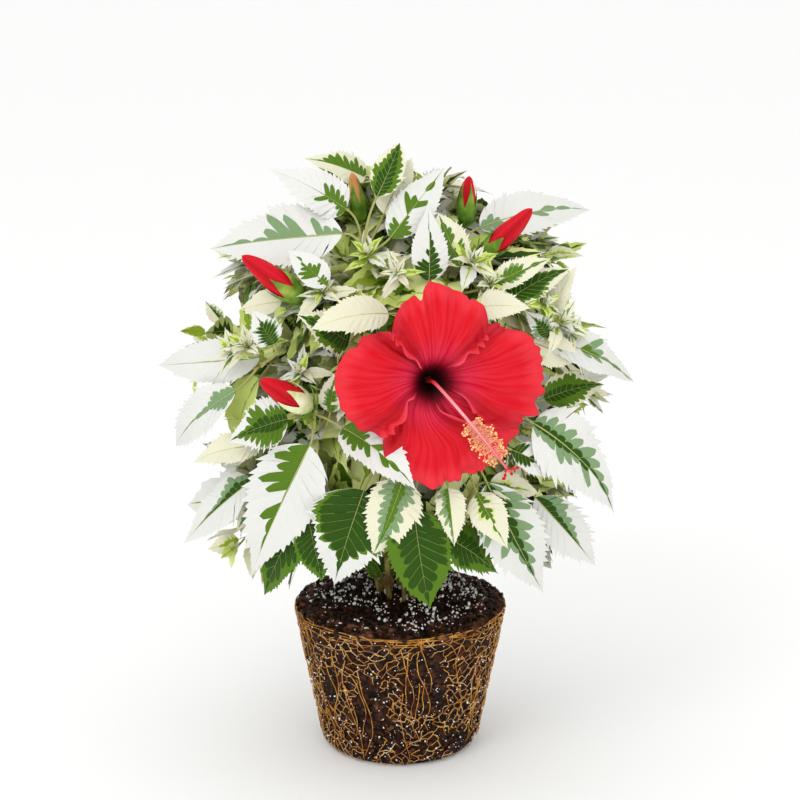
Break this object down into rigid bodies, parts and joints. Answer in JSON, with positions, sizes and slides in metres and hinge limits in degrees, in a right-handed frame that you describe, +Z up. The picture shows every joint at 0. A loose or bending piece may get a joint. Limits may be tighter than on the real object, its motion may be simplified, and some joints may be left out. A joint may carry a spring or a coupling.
{
  "type": "hibiscus shrub",
  "caption": "Variegated hibiscus shrub on a bare root ball shaped by its pot: slim canes, a round crown of white and green toothed leaves, and one open red bloom.",
  "frame": {"origin": "centre of the root ball's flat underside, on the surface that the plant stands on", "axes": "+Z up along the canes, -Y towards the side that the open bloom faces, +X to the right as seen from there"},
  "size_m": [0.3618, 0.3802, 0.4848],
  "materials": {
    "soil": "rough",
    "bark": "matte",
    "leaf": "satin",
    "petal": "satin",
    "sepal": "satin"
  },
  "bodies": {
    "root": {"root_ball": "soil", "cane_1": "bark", "cane_2": "bark", "cane_3": "bark", "cane_4": "bark", "cane_5": "bark", "cane_6": "bark", "bough_crest_2": "bark", "bough_girdle_1": "bark", "bough_girdle_2": "bark", "bough_girdle_3": "bark", "bough_girdle_4": "bark", "bough_girdle_5": "bark", "bough_girdle_6": "bark", "bough_girdle_7": "bark", "bough_skirt_1": "bark", "bough_skirt_2": "bark", "bough_skirt_3": "bark", "bough_skirt_4": "bark", "bough_skirt_5": "bark", "bough_skirt_6": "bark", "foliage_crest_1": "leaf", "foliage_crest_2": "leaf", "foliage_girdle_1": "leaf", "foliage_girdle_2": "leaf", "foliage_girdle_3": "leaf", "foliage_girdle_4": "leaf", "foliage_girdle_5": "leaf", "foliage_girdle_6": "leaf", "foliage_girdle_7": "leaf", "foliage_shoulder_1": "leaf", "foliage_shoulder_2": "leaf", "foliage_shoulder_3": "leaf", "foliage_shoulder_4": "leaf", "foliage_shoulder_5": "leaf", "foliage_skirt_1": "leaf", "foliage_skirt_2": "leaf", "foliage_skirt_3": "leaf", "foliage_skirt_4": "leaf", "foliage_skirt_5": "leaf", "foliage_skirt_6": "leaf", "petal_left": "petal", "petal_lower_left": "petal", "petal_lower_right": "petal", "petal_right": "petal", "petal_top": "petal", "bloom_calyx": "sepal", "stamen_column": "petal"}
  },
  "joints": []
}
